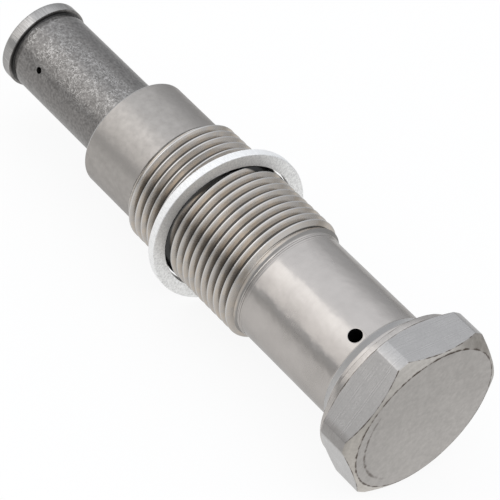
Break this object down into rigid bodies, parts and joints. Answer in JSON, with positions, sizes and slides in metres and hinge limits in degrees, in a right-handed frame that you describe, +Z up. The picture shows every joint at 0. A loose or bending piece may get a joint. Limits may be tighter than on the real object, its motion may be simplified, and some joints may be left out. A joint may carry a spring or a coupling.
{
  "type": "timing chain tensioner",
  "caption": "Screw-in hydraulic chain tensioner: hex-headed threaded steel housing with a sprung flanged plunger, ball check valve and loose sealing washer.",
  "frame": {"origin": "on the surface it lies on, under the middle of its length and width", "axes": "+X along the axis towards the hex head, the plunger tip at -X; +Z up from the hex flat that it lies on"},
  "size_m": [0.0958, 0.03, 0.027],
  "materials": {
    "housing_steel": "satin plated",
    "plunger_steel": "hardened, mottled grey",
    "washer_aluminium": "matte, stamped",
    "spring_steel": "oiled",
    "valve_steel": "polished",
    "filler_plastic": "natural moulded"
  },
  "bodies": {
    "housing": {"housing": "housing_steel", "sealing_washer": "washer_aluminium", "plunger_spring": "spring_steel", "valve_seat": "valve_steel", "valve_spring": "spring_steel", "valve_cage": "valve_steel"},
    "plunger": {"plunger": "plunger_steel", "stop_ring": "spring_steel", "filler": "filler_plastic"},
    "valve_ball": {"valve_ball": "valve_steel"}
  },
  "joints": [
    {"name": "plunger_slide", "type": "slide", "parent": "housing", "child": "plunger", "axis": [1, 0, 0], "range_m": [0, 0.022], "stiffness_N_per_m": 4000, "deforming": ["plunger_spring"]},
    {"name": "ball_lift", "type": "slide", "parent": "housing", "child": "valve_ball", "axis": [-1, 0, 0], "range_m": [0, 0.0008], "stiffness_N_per_m": 60, "deforming": ["valve_spring"]}
  ]
}
